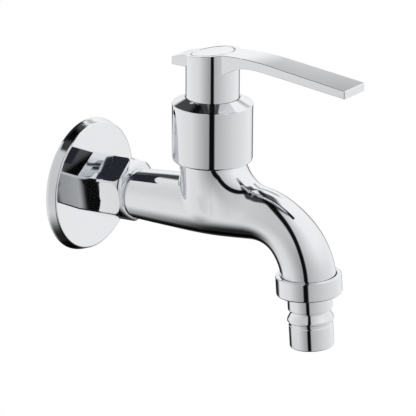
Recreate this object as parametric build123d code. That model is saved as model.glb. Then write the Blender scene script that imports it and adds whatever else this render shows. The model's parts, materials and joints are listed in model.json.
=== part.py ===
from build123d import *
from math import asin, cos, pi, radians, sin, tan
import os

# Wall-mounted cold water tap with a lever handle and a hose nozzle.
# The origin is on the inlet axis, in the plane of the wall flange's back face.
# +X leaves the wall towards the spout and +Z is up. All sizes are in millimetres.

# Inlet: male G1/2 pipe thread and flats for a spanner, which end in a round shoulder
pipe_thread_d = 20.955
inlet_thread_length = 13.0
inlet_thread_start = -11.0
inlet_relief_depth = 0.9
thread_chamfer = 0.9
spanner_flats = 25.0
spanner_corners_d = 28.3
spanner_length = 22.5
spanner_turn_deg = 3.5
shoulder_round = 4.1
spanner_spare = 2.0
inlet_bore_d = 13.0

# Wall flange: pressed cover with a rolled rim
flange_d = 57.0
flange_face_d = 54.4
flange_depth = 4.5
flange_sheet = 1.2
flange_clearance = 0.8
flange_rest_gap = 0.1
flange_rim_straight = 0.9
flange_edge_round = 0.8

# Body: a tapered run from the shoulder, then the bent spout
valve_x = 64.0
run_start_x = 24.0
run_root_d = 20.8
run_middle_d = 22.9
run_rise_deg = 3.3
tee_d = 24.2
spout_root_d = 22.6
spout_waist_d = 20.8
spout_end_d = 22.6
spout_waist_share = 0.4
spout_swell_share = 0.7
spout_bend_radius = 25.3
spout_bend_start_x = 84.3
outlet_lean_deg = 4.4
body_wall = 3.0
neck_d = 27.0
neck_foot_d = 22.6
neck_middle_d = 25.9
neck_middle_z = 12.8
neck_visible_top = 22.1
neck_top = 29.5
crotch_radius = 25.0
blend_end_d = 21.2
crease_round = 2.5
crease_margin = 1.0
blend_overlap = 0.07
blend_steps = 4

# Valve chamber and water ways
seat_z = 0.8
seat_web = 2.2
seat_hole_d = 10.0
chamber_d = 20.6
feed_width = 12.0
feed_height = 6.0
feed_length = 24.0
feed_overlap = 4.8
drill_point = 4.8

# Sleeve that covers the cartridge
sleeve_d = 33.0
sleeve_height = 24.0
sleeve_cone_rise = 2.7
sleeve_wall = 1.6
sleeve_roof = 1.76
sleeve_thread_d = 26.0
sleeve_thread_length = 8.4
sleeve_bottom_round = 1.3
sleeve_edge_round = 0.3

# Cartridge: quarter-turn ceramic disc valve
thread_clearance = 0.05
cartridge_barrel_d = 17.6
cartridge_bore_d = 15.2
cartridge_bottom_gap = 0.8
cartridge_thread_bottom = 15.2
cartridge_hex_flats = 22.0
cartridge_hex_height = 5.0
cartridge_guide_d = 16.8
cartridge_top = 43.0
cartridge_ceiling = 19.0
housing_ring_section_d = 1.5
housing_ring_seat_gap = 0.1
window_width = 9.0
window_bottom = 11.4
window_height = 5.0
cut_past = 2.0
disc_thickness = 3.0
disc_clearance = 0.1
disc_film = 0.05
port_inner_r = 1.6
port_outer_r = 6.2
port_angle = 78.0
disc_key_width = 2.5
disc_key_height = 0.55
seat_seal_height = 3.2
seat_seal_bore_d = 10.6
seat_seal_lip_d = 17.2
seal_support_wall = 0.9
seal_support_height = 2.8

# Spindle and the rings on it
spindle_d = 10.0
spindle_clearance = 0.05
spindle_shoulder_d = 14.4
spindle_shoulder_height = 1.4
spindle_waist_d = 6.4
spindle_foot_height = 1.6
drive_dog_height = 1.2
drive_dog_width = 2.4
spindle_ring_levels = (29.0, 34.0)
ring_section_d = 1.3
ring_groove_width = 1.6
ring_groove_depth = 1.35
circlip_thickness = 0.8
circlip_width = 2.1
circlip_groove_depth = 1.0
spindle_head_gap = 0.6
washer_thickness = 0.3
washer_play = 0.05
thrust_washer_inset = 0.2
slip_washer_width = 1.8
spline_teeth = 20
spline_d = 8.0
spline_tooth_depth = 0.45
spline_top_gap = 2.4

# Handle: hub, arched lever and a short tail
hub_d = 21.9
hub_bottom = 48.2
hub_wall = 1.7
hub_running_gap = 0.25
hub_web_bottom = 57.4
hub_web = 2.4
boss_d = 12.4
boss_gap = 1.4
spline_clearance = 0.05
spline_end_gap = 0.4
lever_reach = 66.4
tail_reach = 16.1
lever_tip_width = 15.0
lever_tail_width = 12.4
crest_offset = 18.0
crest_z = 69.0
tail_arch_radius = 125.0
lever_bend_length = 14.0
lever_fall_deg = 6.9
lever_thickness = 3.75
lever_tip_thickness = 3.3
tail_bottom_z = 61.1
haunch_bottom_z = 60.3
haunch_root_inset = 2.5
haunch_run = 16.9
haunch_rise = 4.3
underside_bend_run = 22.45
underside_bend_drop = 3.9
lever_edge_round = 0.4

# Screw and index cap in the top of the hub
screw_shank_d = 4.0
screw_length = 11.0
screw_head_d = 7.0
screw_head_height = 2.6
screw_head_round = 0.7
screw_clearance = 0.1
screw_recess_flats = 2.5
screw_recess_depth = 1.43
screw_hole_spare = 4.8
screw_well_d = 10.4
index_cap_d = 17.5
index_groove = 0.2
index_cap_thickness = 1.6
index_stub_d = 10.0
index_stub_wall = 0.9
index_stub_height = 2.2
cap_sink = 0.05

# Outlet: plain collar nut, washer and hose nozzle
collar_d = 26.8
collar_height = 8.0
collar_rise = 2.2
collar_skirt_gap = 0.3
collar_lip = 0.9
collar_lip_gap = 0.15
collar_step = 0.2
collar_bottom_round = 0.9
collar_top_round = 0.4
outlet_bore_d = 15.0
outlet_bore_step = 0.5
outlet_bore_depth = 2.5
nozzle_washer_d = 19.6
nozzle_washer_thickness = 1.2
nozzle_d = 18.1
nozzle_rib_d = 19.1
nozzle_groove_d = 16.0
nozzle_bore_d = 13.4
nozzle_flange_d = 19.8
nozzle_flange_thickness = 1.5
nozzle_end = 28.1
nozzle_neck_end = 12.2
nozzle_groove_end = 13.5
nozzle_rib_start = 16.3
nozzle_rib_end = 17.1
nozzle_rib_foot = 18.7
nozzle_rib_undercut = 0.2
nozzle_end_chamfer = 0.5

# Sizes worked out from the ones above
hex_back_x = flange_depth
hex_front_x = hex_back_x + spanner_length
pipe_thread_r = pipe_thread_d / 2
lean = radians(outlet_lean_deg)
rise = radians(run_rise_deg)
sleeve_bottom = neck_visible_top
sleeve_top = sleeve_bottom + sleeve_height
mouth_r = hub_d / 2 + hub_running_gap
housing_ring_seat_r = pipe_thread_r + thread_clearance + housing_ring_section_d + housing_ring_seat_gap
housing_ring_seat_depth = housing_ring_section_d + housing_ring_seat_gap
cartridge_bottom = seat_z + cartridge_bottom_gap
fixed_disc_bottom = seat_z + seat_seal_height
moving_disc_bottom = fixed_disc_bottom + disc_thickness + disc_film
moving_disc_top = moving_disc_bottom + disc_thickness
disc_r = cartridge_bore_d / 2 - disc_clearance
shoulder_top = cartridge_ceiling - 2 * washer_play - washer_thickness
circlip_bottom = cartridge_top + 2 * washer_play + washer_thickness
boss_bottom = circlip_bottom + circlip_thickness + boss_gap
spline_top = hub_web_bottom - spline_top_gap
screw_seat_z = hub_web_bottom + hub_web
valve = Location((valve_x, 0, 0))


def section(corners, rounds=()):
    """Closed outline in the XZ plane, with some corners rounded: ((corner number, radius), ...)."""
    face = make_face(Polyline(*corners, close=True))
    for number, radius in rounds:
        corner = face.vertices().sort_by_distance((*corners[number], 0))[0]
        face = fillet([corner], radius)
    return Plane.XZ * face


def turned(corners, rounds=()):
    """Ring or shaft about the Z axis, from (radius, height) corners."""
    return revolve(section(corners, rounds), Axis.Z)


def turned_on_x(corners, rounds=()):
    """Ring or shaft about the inlet axis, from (x, radius) corners."""
    return revolve(section(corners, rounds), Axis.X)


def washer(outer_r, inner_r, bottom, height):
    """Flat ring about the Z axis."""
    top = bottom + height
    return turned([(inner_r, bottom), (outer_r, bottom), (outer_r, top), (inner_r, top)])


def hexagon(flats):
    """Hexagon with its corners up and down."""
    return Rot(0, 0, 90) * RegularPolygon(flats / 2, 6, major_radius=False)


# Path of the body: a straight run that rises a little, then one bend down to the outlet
bend_start = Vector(spout_bend_start_x, 0, (spout_bend_start_x - run_start_x) * tan(rise))
bend_centre = bend_start + Vector(sin(rise), 0, -cos(rise)) * spout_bend_radius
bend_turn = rise + pi / 2 - lean


def run_plane(x):
    """Plane square to the straight run at x."""
    origin = (x, 0, (x - run_start_x) * tan(rise))
    return Plane(origin, x_dir=(0, 1, 0), z_dir=(cos(rise), 0, sin(rise)))


def bend_plane(share):
    """Plane square to the bend, from 0 at its start to 1 at the outlet."""
    heading = rise - share * bend_turn
    normal = Vector(-sin(heading), 0, cos(heading))
    origin = bend_centre + normal * spout_bend_radius
    return Plane(origin, x_dir=(0, 1, 0), z_dir=(cos(heading), 0, sin(heading)))


outlet_point = bend_plane(1).origin
outlet = Plane(outlet_point, x_dir=(cos(lean), 0, sin(lean)), z_dir=(sin(lean), 0, -cos(lean))).location
spout_end = collar_height - collar_rise - collar_lip - nozzle_flange_thickness - nozzle_washer_thickness


def run_and_spout():
    """Round tube that swells at the tee, narrows past it and swells again to the outlet."""
    return loft([
        run_plane(run_start_x) * Circle(run_root_d / 2),
        run_plane((run_start_x + valve_x) / 2) * Circle(run_middle_d / 2),
        run_plane(valve_x) * Circle(tee_d / 2),
        run_plane(spout_bend_start_x) * Circle(spout_root_d / 2),
        bend_plane(spout_waist_share) * Circle(spout_waist_d / 2),
        bend_plane(spout_swell_share) * Circle((spout_waist_d + spout_end_d) / 4),
        bend_plane(1) * Circle(spout_end_d / 2),
    ])


def cylinder(radius, bottom, top):
    """Plain cylinder about the Z axis."""
    return Pos(0, 0, bottom) * extrude(Circle(radius), top - bottom)


def ports():
    """Two opposite fan-shaped ports on the X axis."""
    half = radians(port_angle / 2)
    reach = 2 * port_outer_r
    lower_corner = (reach * cos(half), -reach * sin(half))
    upper_corner = (reach * cos(half), reach * sin(half))
    fan = make_face(Polyline((0, 0), lower_corner, upper_corner, close=True))
    port = fan & (Circle(port_outer_r) - Circle(port_inner_r))
    return port + Rot(0, 0, 180) * port


def spline_outline(extra=0.0):
    """Toothed outline of the spindle's head, with extra radius all round for its socket."""
    corners = []
    for number in range(2 * spline_teeth):
        radius = spline_d / 2 + extra - (number % 2) * spline_tooth_depth
        angle = pi * number / spline_teeth
        corners.append((radius * cos(angle), radius * sin(angle)))
    return make_face(Polyline(*corners, close=True))


def elbow_plane(share):
    """Plane square to the blend from the neck, at 0, into the spout, at 1."""
    angle = share * (pi / 2 + rise)
    centre_z = bend_start.Z + crotch_radius
    origin = (valve_x + crotch_radius * (1 - cos(angle)), 0, centre_z - crotch_radius * sin(angle))
    return Plane(origin, x_dir=(0, 1, 0), z_dir=(sin(angle), 0, -cos(angle)))


def blend_section(share):
    """Circle of the blend between the neck and the spout, from 0 at the neck to 1 at the spout."""
    diameter = neck_d + (blend_end_d - neck_d) * share
    return elbow_plane(share) * Circle(diameter / 2 - blend_overlap)


def is_crease(edge):
    """True for the edges where the neck and the blend meet the run."""
    box = edge.bounding_box()
    in_height = box.min.Z > seat_z and box.max.Z < neck_visible_top - crease_margin
    in_length = box.min.X > hex_front_x and box.max.X < spout_bend_start_x
    return in_height and in_length


def body_outside():
    """Casting's outside: run, neck, the wide blend between them, flats, shoulder and threads."""
    neck = loft([
        Pos(valve_x, 0, seat_z) * Circle(neck_foot_d / 2),
        Pos(valve_x, 0, neck_middle_z) * Circle(neck_middle_d / 2),
        Pos(valve_x, 0, neck_visible_top) * Circle(neck_d / 2),
    ])
    blend = loft([blend_section(step / blend_steps) for step in range(blend_steps + 1)])
    casting = run_and_spout() + neck + blend
    casting = fillet([edge for edge in casting.edges() if is_crease(edge)], crease_round)
    casting -= valve * cylinder(neck_d, neck_visible_top, neck_top)
    casting += valve * cylinder(sleeve_thread_d / 2, seat_z, neck_top)
    return casting + spanner_hex() + inlet_thread() + outlet_thread()


def spanner_hex():
    """Hexagon that rises with the run, turned round at its front into a wide convex shoulder."""
    flats = Rot(0, 0, spanner_turn_deg) * hexagon(spanner_flats)
    heading = Vector(cos(rise), 0, sin(rise))
    bar = extrude(Plane.YZ.offset(hex_back_x) * flats, spanner_length + spanner_spare, dir=heading)
    outer_r = spanner_corners_d / 2
    corners = [(-spanner_spare, 0), (-spanner_spare, outer_r), (spanner_length, outer_r), (spanner_length, 0)]
    envelope = Pos(hex_back_x, 0, 0) * Rot(0, -run_rise_deg, 0) * turned_on_x(corners, [(2, shoulder_round)])
    return bar & envelope


def inlet_thread():
    """Envelope of the pipe thread, with its lead-in chamfer and a relief behind the flange."""
    thread_end = inlet_thread_start + inlet_thread_length
    relief_r = pipe_thread_r - inlet_relief_depth
    return turned_on_x([
        (inlet_thread_start, 0), (inlet_thread_start, pipe_thread_r - thread_chamfer),
        (inlet_thread_start + thread_chamfer, pipe_thread_r), (thread_end, pipe_thread_r),
        (thread_end, relief_r), (hex_back_x, relief_r), (hex_back_x, 0),
    ])


def outlet_thread():
    """Threaded end of the spout, inside the collar nut."""
    return outlet * cylinder(pipe_thread_r, -collar_rise, spout_end)


def tap_body():
    """One casting: inlet, seat, valve chamber, neck and spout."""
    feed_z = seat_z - seat_web - feed_height / 2
    feed_start = valve_x + seat_hole_d / 2 - feed_length
    slot = Pos(0, feed_z) * SlotOverall(feed_width, feed_height)
    feed = Plane.YZ.offset(feed_start) * extrude(slot, feed_length)
    bore_end = feed_start + feed_overlap
    inlet_way = turned_on_x([
        (inlet_thread_start, 0), (inlet_thread_start, inlet_bore_d / 2),
        (bore_end, inlet_bore_d / 2), (bore_end + drill_point, 0),
    ])
    chamber = cylinder(seat_hole_d / 2, feed_z, seat_z)
    chamber += cylinder(chamber_d / 2, seat_z, cartridge_thread_bottom)
    chamber += cylinder(pipe_thread_r + thread_clearance, cartridge_thread_bottom, neck_top)
    chamber += cylinder(housing_ring_seat_r, neck_top - housing_ring_seat_depth, neck_top)
    way_start = run_plane(valve_x + chamber_d / 2 - body_wall)
    spout_way = loft([
        way_start * Circle(tee_d / 2 - body_wall),
        run_plane(spout_bend_start_x) * Circle(spout_root_d / 2 - body_wall),
        bend_plane(spout_waist_share) * Circle(spout_waist_d / 2 - body_wall),
        bend_plane(1) * Circle(outlet_bore_d / 2 - outlet_bore_step),
    ])
    outlet_way = outlet * cylinder(outlet_bore_d / 2, -outlet_bore_depth, spout_end)
    water_ways = inlet_way + feed + valve * chamber + spout_way + outlet_way
    return body_outside() - water_ways


def wall_flange():
    """Pressed cover with a tapered rim, hanging loose between the wall and the flats."""
    bore_r = pipe_thread_r + flange_clearance
    face_r = flange_face_d / 2
    rim_r = flange_d / 2
    inside_x = flange_depth - flange_sheet
    hanging = Pos(0, 0, flange_rest_gap - flange_clearance)
    return hanging * turned_on_x([
        (0, rim_r - flange_sheet), (0, rim_r), (flange_rim_straight, rim_r), (flange_depth, face_r),
        (flange_depth, bore_r), (inside_x, bore_r), (inside_x, face_r - flange_sheet),
    ], [(3, flange_edge_round)])


def bonnet_sleeve():
    """Smooth cover screwed down over the neck and the cartridge, with a shallow cone on top."""
    outer_r = sleeve_d / 2
    inner_r = outer_r - sleeve_wall
    thread_r = sleeve_thread_d / 2 + thread_clearance
    thread_top = sleeve_bottom + sleeve_thread_length
    cone_slope = sleeve_cone_rise / (outer_r - mouth_r)
    mouth_z = sleeve_top + sleeve_cone_rise
    eaves_z = sleeve_top + cone_slope * sleeve_wall - sleeve_roof
    return valve * turned([
        (thread_r, sleeve_bottom), (outer_r, sleeve_bottom), (outer_r, sleeve_top), (mouth_r, mouth_z),
        (mouth_r, mouth_z - sleeve_roof), (inner_r, eaves_z), (inner_r, thread_top), (thread_r, thread_top),
    ], [(1, sleeve_bottom_round), (2, sleeve_edge_round)])


def cartridge_housing():
    """Brass headwork: barrel with side windows, pipe thread, flats and spindle guide."""
    barrel_r = cartridge_barrel_d / 2
    guide_r = cartridge_guide_d / 2
    housing = turned([
        (0, cartridge_bottom), (barrel_r, cartridge_bottom), (barrel_r, cartridge_thread_bottom),
        (pipe_thread_r, cartridge_thread_bottom), (pipe_thread_r, neck_top), (guide_r, neck_top),
        (guide_r, cartridge_top), (0, cartridge_top),
    ])
    housing += Pos(0, 0, neck_top) * extrude(hexagon(cartridge_hex_flats), cartridge_hex_height)
    housing -= cylinder(cartridge_bore_d / 2, cartridge_bottom, cartridge_ceiling)
    housing -= cylinder(spindle_d / 2 + spindle_clearance, cartridge_ceiling, cartridge_top)
    windows = Box(window_width, cartridge_barrel_d + cut_past, window_height)
    windows += Box(cartridge_barrel_d + cut_past, window_width, window_height)
    housing -= Pos(0, 0, window_bottom + window_height / 2) * windows
    slot_top = fixed_disc_bottom + disc_thickness
    slot_length = cartridge_bore_d + 2 * (disc_key_height + disc_clearance)
    key_slot = Box(slot_length, disc_key_width + disc_clearance, slot_top - cartridge_bottom)
    housing -= Pos(0, 0, (slot_top + cartridge_bottom) / 2) * key_slot
    return valve * housing


def ring(inner_r, section_d, bottom):
    """Rubber ring of round section, resting at bottom."""
    return Pos(0, 0, bottom + section_d / 2) * Torus(inner_r + section_d / 2, section_d / 2)


def housing_o_ring():
    """Seal between the neck's rim and the cartridge."""
    bottom = neck_top - housing_ring_section_d
    return valve * ring(pipe_thread_r + thread_clearance, housing_ring_section_d, bottom)


def seat_seal():
    """Rubber seal that presses on the seat and carries the fixed disc."""
    bore_r = seat_seal_bore_d / 2
    lip_r = seat_seal_lip_d / 2
    return valve * turned([
        (bore_r, seat_z), (lip_r, seat_z), (lip_r, cartridge_bottom),
        (disc_r, cartridge_bottom), (disc_r, fixed_disc_bottom), (bore_r, fixed_disc_bottom),
    ])


def seal_support_ring():
    """Plastic ring that keeps the seat seal open."""
    outer_r = seat_seal_bore_d / 2
    bottom = fixed_disc_bottom - seal_support_height
    return valve * washer(outer_r, outer_r - seal_support_wall, bottom, seal_support_height)


def fixed_disc():
    """Ceramic disc keyed into the housing."""
    disc = Circle(disc_r) + Rectangle(cartridge_bore_d + 2 * disc_key_height, disc_key_width)
    return valve * Pos(0, 0, fixed_disc_bottom) * extrude(disc - ports(), disc_thickness)


def moving_disc():
    """Ceramic disc that the spindle turns, shut at rest with its ports across the fixed ones."""
    disc = Rot(0, 0, 90) * extrude(Circle(disc_r) - ports(), disc_thickness)
    slot = Box(2 * disc_r, drive_dog_width + disc_clearance, drive_dog_height + disc_clearance)
    slot -= Box(2 * port_inner_r, 2 * port_inner_r, 2 * drive_dog_height)
    disc -= Pos(0, 0, disc_thickness - (drive_dog_height + disc_clearance) / 2) * slot
    return valve * Pos(0, 0, moving_disc_bottom) * disc


def groove(radius, depth, bottom, top):
    """Corners of a square groove, from bottom to top."""
    return [(radius, bottom), (radius - depth, bottom), (radius - depth, top), (radius, top)]


def spindle():
    """Spindle with a ported driving foot, a waist for the water, ring grooves and a splined head."""
    foot_bottom = moving_disc_top + disc_film
    foot_top = foot_bottom + spindle_foot_height
    shaft_r = spindle_d / 2
    waist_r = spindle_waist_d / 2
    shoulder_r = spindle_shoulder_d / 2
    shoulder_bottom = shoulder_top - spindle_shoulder_height
    corners = [
        (0, foot_top), (waist_r, foot_top), (waist_r, shoulder_bottom),
        (shoulder_r, shoulder_bottom), (shoulder_r, shoulder_top), (shaft_r, shoulder_top),
    ]
    for level in spindle_ring_levels:
        corners += groove(shaft_r, ring_groove_depth, level, level + ring_groove_width)
    corners += groove(shaft_r, circlip_groove_depth, circlip_bottom, circlip_bottom + circlip_thickness)
    head_bottom = boss_bottom - spindle_head_gap
    corners += [(shaft_r, head_bottom), (0, head_bottom)]
    foot = Rot(0, 0, 90) * extrude(Circle(shoulder_r) - ports(), spindle_foot_height)
    dogs = Box(2 * shoulder_r, drive_dog_width, drive_dog_height)
    dogs -= Box(4 * port_inner_r, 4 * port_inner_r, 2 * drive_dog_height)
    head = extrude(spline_outline(), spline_top - head_bottom)
    shaft = turned(corners) + Pos(0, 0, foot_bottom) * foot + Pos(0, 0, head_bottom) * head
    shaft += Pos(0, 0, foot_bottom - drive_dog_height / 2) * dogs
    hole_bottom = screw_seat_z - screw_length - screw_hole_spare
    return valve * (shaft - cylinder(screw_shank_d / 2, hole_bottom, spline_top))


def spindle_o_ring(level):
    """Rubber ring in one of the spindle's grooves."""
    play = (ring_groove_width - ring_section_d) / 2
    return valve * ring(spindle_d / 2 - ring_groove_depth, ring_section_d, level + play)


def thrust_washer():
    """Low-friction washer between the spindle's shoulder and the housing."""
    outer_r = spindle_shoulder_d / 2 - thrust_washer_inset
    inner_r = spindle_d / 2 + 2 * spindle_clearance
    return valve * washer(outer_r, inner_r, shoulder_top + washer_play, washer_thickness)


def slip_washer():
    """Washer under the circlip."""
    outer_r = spindle_d / 2 + slip_washer_width
    inner_r = spindle_d / 2 + 2 * spindle_clearance
    return valve * washer(outer_r, inner_r, cartridge_top + washer_play, washer_thickness)


def spindle_circlip():
    """Open spring ring that holds the spindle in the housing."""
    inner_r = spindle_d / 2 - circlip_groove_depth
    outer_r = inner_r + circlip_width
    mouth = Pos(-(outer_r + inner_r) / 2, 0) * Rectangle(outer_r, inner_r)
    ring_face = Circle(outer_r) - Circle(inner_r) - mouth
    return valve * Pos(0, 0, circlip_bottom) * extrude(ring_face, circlip_thickness)


# Arched top of the handle, seen from the side
tip_x = valve_x + lever_reach
tail_x = valve_x - tail_reach
crest_x = valve_x + crest_offset
fall = radians(lever_fall_deg)
bend_end_x = crest_x + lever_bend_length
bend_end_z = crest_z - lever_bend_length * tan(fall / 2)
tip_z = bend_end_z - (tip_x - bend_end_x) * tan(fall)


def arch_z(x):
    """Height of the arched top between the tail and the crest."""
    return crest_z - tail_arch_radius + (tail_arch_radius ** 2 - (crest_x - x) ** 2) ** 0.5


def top_z(x):
    """Height of the handle's top, over the arch, the bend and the straight fall to the tip."""
    if x < crest_x:
        return arch_z(x)
    if x < bend_end_x:
        return crest_z - tan(fall) * (x - crest_x) ** 2 / (2 * lever_bend_length)
    return bend_end_z - (x - bend_end_x) * tan(fall)


def is_rim(edge):
    """True for the bar's edges that run along its top."""
    middle = edge @ 0.5
    return abs(middle.Z - top_z(middle.X)) < lever_edge_round and abs(middle.Y) > lever_tail_width / 4


def arch_side(bottom_corners):
    """Side outline under the arched top, closed below through the given corners."""
    middle_x = (tail_x + crest_x) / 2
    bend_middle = (crest_x + lever_bend_length / 2, crest_z - lever_bend_length * tan(fall / 4) / 2)
    top = ThreePointArc((tail_x, arch_z(tail_x)), (middle_x, arch_z(middle_x)), (crest_x, crest_z))
    bend = ThreePointArc((crest_x, crest_z), bend_middle, (bend_end_x, bend_end_z))
    rest = Polyline((bend_end_x, bend_end_z), (tip_x, tip_z), *bottom_corners, (tail_x, arch_z(tail_x)))
    return Plane.XZ * make_face([top, bend, rest])


def under_arch(drop=0.0):
    """Everything below the arched top, lowered by drop."""
    side = arch_side([(tip_x, boss_bottom), (tail_x, boss_bottom)])
    return Pos(0, 0, -drop) * extrude(side, 2 * hub_d, both=True)


def lever_bar():
    """Arched bar with its tail and the haunch that runs into the hub."""
    side = arch_side([
        (tip_x, tip_z - lever_tip_thickness),
        (bend_end_x, bend_end_z - lever_thickness),
        (valve_x + underside_bend_run, crest_z - underside_bend_drop),
        (valve_x + haunch_run, haunch_bottom_z + haunch_rise),
        (valve_x + hub_d / 2 - haunch_root_inset, haunch_bottom_z),
        (valve_x, haunch_bottom_z),
        (valve_x, tail_bottom_z),
        (tail_x, tail_bottom_z),
    ])
    bar = extrude(side, lever_tip_width, both=True)
    plan = make_face(Polyline(
        (tail_x, -lever_tail_width / 2), (tip_x, -lever_tip_width / 2),
        (tip_x, lever_tip_width / 2), (tail_x, lever_tail_width / 2), close=True,
    ))
    bar = bar & Pos(0, 0, hub_bottom) * extrude(plan, crest_z)
    return fillet([edge for edge in bar.edges() if is_rim(edge)], lever_edge_round)


cap_tilt = asin(crest_offset / tail_arch_radius)
cap_plane = Plane(
    (valve_x, 0, arch_z(valve_x)),
    x_dir=(cos(cap_tilt), 0, sin(cap_tilt)),
    z_dir=(-sin(cap_tilt), 0, cos(cap_tilt)),
).location


def handle():
    """Hub, arched lever and tail in one casting, hollow below, with a splined boss."""
    hub = (valve * cylinder(hub_d / 2, hub_bottom, crest_z)) & under_arch()
    casting = lever_bar() + hub
    casting -= valve * cylinder(hub_d / 2 - hub_wall, hub_bottom, hub_web_bottom)
    casting += valve * cylinder(boss_d / 2, boss_bottom, hub_web_bottom)
    socket = extrude(spline_outline(spline_clearance), spline_top + spline_end_gap - boss_bottom)
    well = cylinder(screw_shank_d / 2 + screw_clearance, boss_bottom, screw_seat_z)
    well += cylinder(screw_well_d / 2, screw_seat_z, crest_z)
    casting -= valve * (Pos(0, 0, boss_bottom) * socket + well)
    stub_end = -index_cap_thickness - index_stub_height - index_groove
    cap_seat = cylinder(index_cap_d / 2 + index_groove, -index_cap_thickness, index_cap_thickness)
    cap_seat += cylinder(index_stub_d / 2 + index_groove, stub_end, 0)
    return casting - cap_plane * cap_seat


def index_cap():
    """Plain cap that covers the screw, flush with the arched top, on a hollow stub."""
    disc = cylinder(index_cap_d / 2, -index_cap_thickness, index_cap_thickness)
    stub_r = index_stub_d / 2
    stub_end = -index_cap_thickness - index_stub_height
    stub = washer(stub_r, stub_r - index_stub_wall, stub_end, index_stub_height)
    return (cap_plane * (disc + stub)) & under_arch(cap_sink)


def handle_screw():
    """Pan-head screw that holds the handle on the spindle."""
    head_top = screw_seat_z + screw_head_height
    head = cylinder(screw_head_d / 2, screw_seat_z, head_top)
    head = fillet(head.edges().group_by(Axis.Z)[-1], screw_head_round)
    screw = head + cylinder(screw_shank_d / 2, screw_seat_z - screw_length, screw_seat_z)
    recess = extrude(hexagon(screw_recess_flats), screw_recess_depth)
    return valve * (screw - Pos(0, 0, head_top - screw_recess_depth) * recess)


def collar_nut():
    """Plain round nut that holds the nozzle on the spout."""
    outer_r = collar_d / 2
    skirt_r = spout_end_d / 2 + collar_skirt_gap
    thread_r = pipe_thread_r + thread_clearance
    lip_r = nozzle_d / 2 + collar_lip_gap
    top = -collar_rise
    bottom = collar_height - collar_rise
    return outlet * turned([
        (skirt_r, top), (outer_r, top), (outer_r, bottom), (lip_r, bottom), (lip_r, bottom - collar_lip),
        (thread_r, bottom - collar_lip), (thread_r, collar_step), (skirt_r, collar_step),
    ], [(1, collar_top_round), (2, collar_bottom_round)])


def nozzle_washer():
    """Rubber washer between the spout's end and the nozzle."""
    return outlet * washer(nozzle_washer_d / 2, outlet_bore_d / 2, spout_end, nozzle_washer_thickness)


def hose_nozzle():
    """Nozzle with a catch groove and a rib for a quick hose connector."""
    flange_top = spout_end + nozzle_washer_thickness
    flange_bottom = flange_top + nozzle_flange_thickness
    outer_r = nozzle_d / 2
    bore_r = nozzle_bore_d / 2
    groove_r = nozzle_groove_d / 2
    rib_r = nozzle_rib_d / 2
    foot_r = outer_r - nozzle_rib_undercut
    return outlet * turned([
        (bore_r, flange_top), (nozzle_flange_d / 2, flange_top), (nozzle_flange_d / 2, flange_bottom),
        (outer_r, flange_bottom), (outer_r, nozzle_neck_end),
        (groove_r, nozzle_neck_end + nozzle_rib_undercut), (groove_r, nozzle_groove_end),
        (rib_r, nozzle_rib_start), (rib_r, nozzle_rib_end),
        (foot_r, nozzle_rib_end + nozzle_rib_undercut), (foot_r, nozzle_rib_foot),
        (outer_r, nozzle_rib_foot + nozzle_rib_undercut), (outer_r, nozzle_end - nozzle_end_chamfer),
        (outer_r - nozzle_end_chamfer, nozzle_end), (bore_r, nozzle_end),
    ])


parts = {
    "tap_body": tap_body(),
    "wall_flange": wall_flange(),
    "bonnet_sleeve": bonnet_sleeve(),
    "cartridge_housing": cartridge_housing(),
    "housing_o_ring": housing_o_ring(),
    "seat_seal": seat_seal(),
    "seal_support_ring": seal_support_ring(),
    "fixed_disc": fixed_disc(),
    "moving_disc": moving_disc(),
    "spindle": spindle(),
    "thrust_washer": thrust_washer(),
    "slip_washer": slip_washer(),
    "spindle_circlip": spindle_circlip(),
    "handle": handle(),
    "handle_screw": handle_screw(),
    "index_cap": index_cap(),
    "collar_nut": collar_nut(),
    "nozzle_washer": nozzle_washer(),
    "hose_nozzle": hose_nozzle(),
}
for name, level in zip(("lower", "upper"), spindle_ring_levels):
    parts["spindle_o_ring_" + name] = spindle_o_ring(level)

os.makedirs("parts", exist_ok=True)
for name, piece in parts.items():
    solid = piece.solids()[0] if len(piece.solids()) == 1 else piece
    solid.label = name
    export_step(solid, "parts/" + name + ".step")
    print(name, len(piece.solids()), round(piece.volume, 1))
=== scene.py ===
# %% [markdown]
# # A chrome water tap
# The tap is packed as a fixed frame: every node has its real size and place, in metres.
# +X leaves the wall, +Z is up, and the origin is on the inlet's axis, at the flange's back.
# Everything below only adds looks to that frame: camera, light, finishes and finer metal shapes.

# %% Load the frame
import json
import math

import bmesh
import bpy
import numpy as np
from mathutils import Matrix, Vector


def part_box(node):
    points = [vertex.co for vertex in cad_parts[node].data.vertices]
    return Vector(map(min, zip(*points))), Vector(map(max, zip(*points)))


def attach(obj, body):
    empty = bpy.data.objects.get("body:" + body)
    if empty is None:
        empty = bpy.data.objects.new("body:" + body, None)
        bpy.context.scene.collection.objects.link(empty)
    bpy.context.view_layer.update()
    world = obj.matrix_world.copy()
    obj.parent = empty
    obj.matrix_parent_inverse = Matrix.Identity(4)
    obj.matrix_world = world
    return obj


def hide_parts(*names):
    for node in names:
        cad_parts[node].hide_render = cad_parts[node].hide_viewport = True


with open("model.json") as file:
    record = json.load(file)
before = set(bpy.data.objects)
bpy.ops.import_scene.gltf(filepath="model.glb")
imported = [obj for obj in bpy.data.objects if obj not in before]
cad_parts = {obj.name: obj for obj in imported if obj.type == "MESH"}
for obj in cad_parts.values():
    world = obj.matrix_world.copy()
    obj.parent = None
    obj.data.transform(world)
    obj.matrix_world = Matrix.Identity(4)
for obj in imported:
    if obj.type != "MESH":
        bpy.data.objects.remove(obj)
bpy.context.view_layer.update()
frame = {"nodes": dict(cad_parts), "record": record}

MM = 0.001
nodes = frame["nodes"]

# %% [markdown]
# ## Camera
# The photograph was taken from a good distance with a long lens, so its perspective is weak.
# The angles, distance and lens below come from fitting the rims of the flange, sleeve and hub,
# which are circles on the real tap, to the ellipses that the photograph shows.

# %% Where a viewer looks from


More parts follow.
